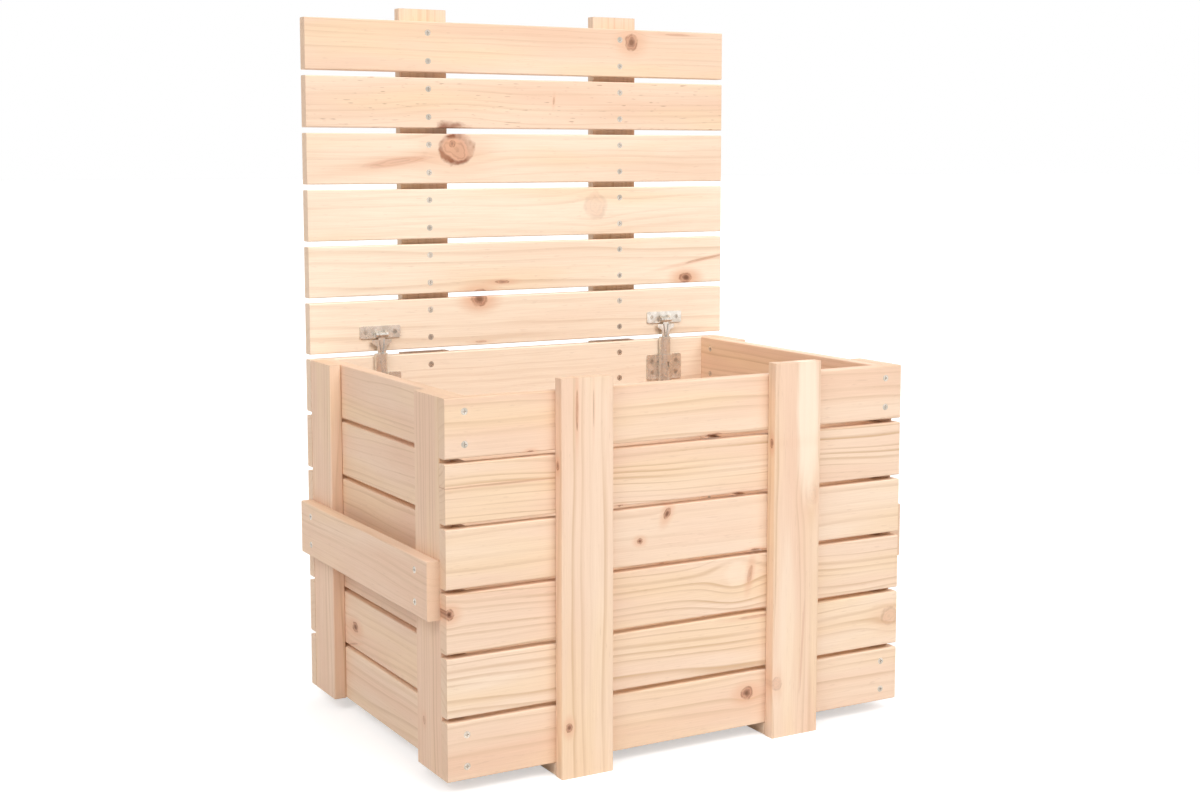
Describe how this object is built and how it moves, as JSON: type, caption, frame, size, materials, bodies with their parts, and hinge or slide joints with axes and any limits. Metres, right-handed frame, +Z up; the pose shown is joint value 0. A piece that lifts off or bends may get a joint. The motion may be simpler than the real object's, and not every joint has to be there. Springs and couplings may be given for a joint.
{
  "type": "slatted storage chest",
  "caption": "Slatted pine storage chest with corner posts, upright battens, skids, side handle boards and a slatted lid that lifts and turns on sprung hinges.",
  "frame": {"origin": "on the ground under the middle of the box, seen from above with the lid open", "axes": "+X along the box's length, to the right seen from the front; +Y to the back, where the hinges are; +Z up"},
  "size_m": [0.58, 0.405, 0.789],
  "materials": {
    "pine": "sanded, unfinished",
    "hinge_zinc": "zinc plated sheet",
    "screw_zinc": "zinc plated",
    "bright_wire": "bright drawn wire"
  },
  "bodies": {
    "box": {"back_left_batten": "pine", "back_left_post": "pine", "back_right_batten": "pine", "back_right_post": "pine", "back_slat_1": "pine", "back_slat_2": "pine", "back_slat_3": "pine", "back_slat_4": "pine", "back_slat_5": "pine", "back_slat_6": "pine", "box_screws": "screw_zinc", "floor_board_1": "pine", "floor_board_2": "pine", "floor_board_3": "pine", "floor_board_4": "pine", "floor_board_5": "pine", "front_left_batten": "pine", "front_left_post": "pine", "front_right_batten": "pine", "front_right_post": "pine", "front_slat_1": "pine", "front_slat_2": "pine", "front_slat_3": "pine", "front_slat_4": "pine", "front_slat_5": "pine", "front_slat_6": "pine", "hinge_springs": "bright_wire", "left_handle": "pine", "left_hinge_housing": "hinge_zinc", "left_skid": "pine", "left_slat_1": "pine", "left_slat_2": "pine", "left_slat_3": "pine", "left_slat_4": "pine", "left_slat_5": "pine", "left_slat_6": "pine", "right_handle": "pine", "right_hinge_housing": "hinge_zinc", "right_skid": "pine", "right_slat_1": "pine", "right_slat_2": "pine", "right_slat_3": "pine", "right_slat_4": "pine", "right_slat_5": "pine", "right_slat_6": "pine"},
    "hinge_arms": {"hinge_hooks": "bright_wire", "left_hinge_arm": "hinge_zinc", "right_hinge_arm": "hinge_zinc"},
    "lid": {"hinge_pins": "bright_wire", "left_hinge_lid_plate": "hinge_zinc", "lid_left_batten": "pine", "lid_right_batten": "pine", "lid_screws": "screw_zinc", "lid_slat_1": "pine", "lid_slat_2": "pine", "lid_slat_3": "pine", "lid_slat_4": "pine", "lid_slat_5": "pine", "lid_slat_6": "pine", "right_hinge_lid_plate": "hinge_zinc"}
  },
  "joints": [
    {"name": "arm_slide", "type": "slide", "parent": "box", "child": "hinge_arms", "axis": [0, 0, 1], "range_m": [-0.0298, 0], "deforming": ["hinge_springs"]},
    {"name": "lid_hinge", "type": "hinge", "parent": "hinge_arms", "child": "lid", "pos_m": [0, 0.1695, 0.417], "axis": [1, 0, 0], "range_deg": [0, 90]}
  ],
  "couplings": [
    {"joint": "arm_slide", "follows": "lid_hinge", "m_per_rad": -0.018908}
  ]
}
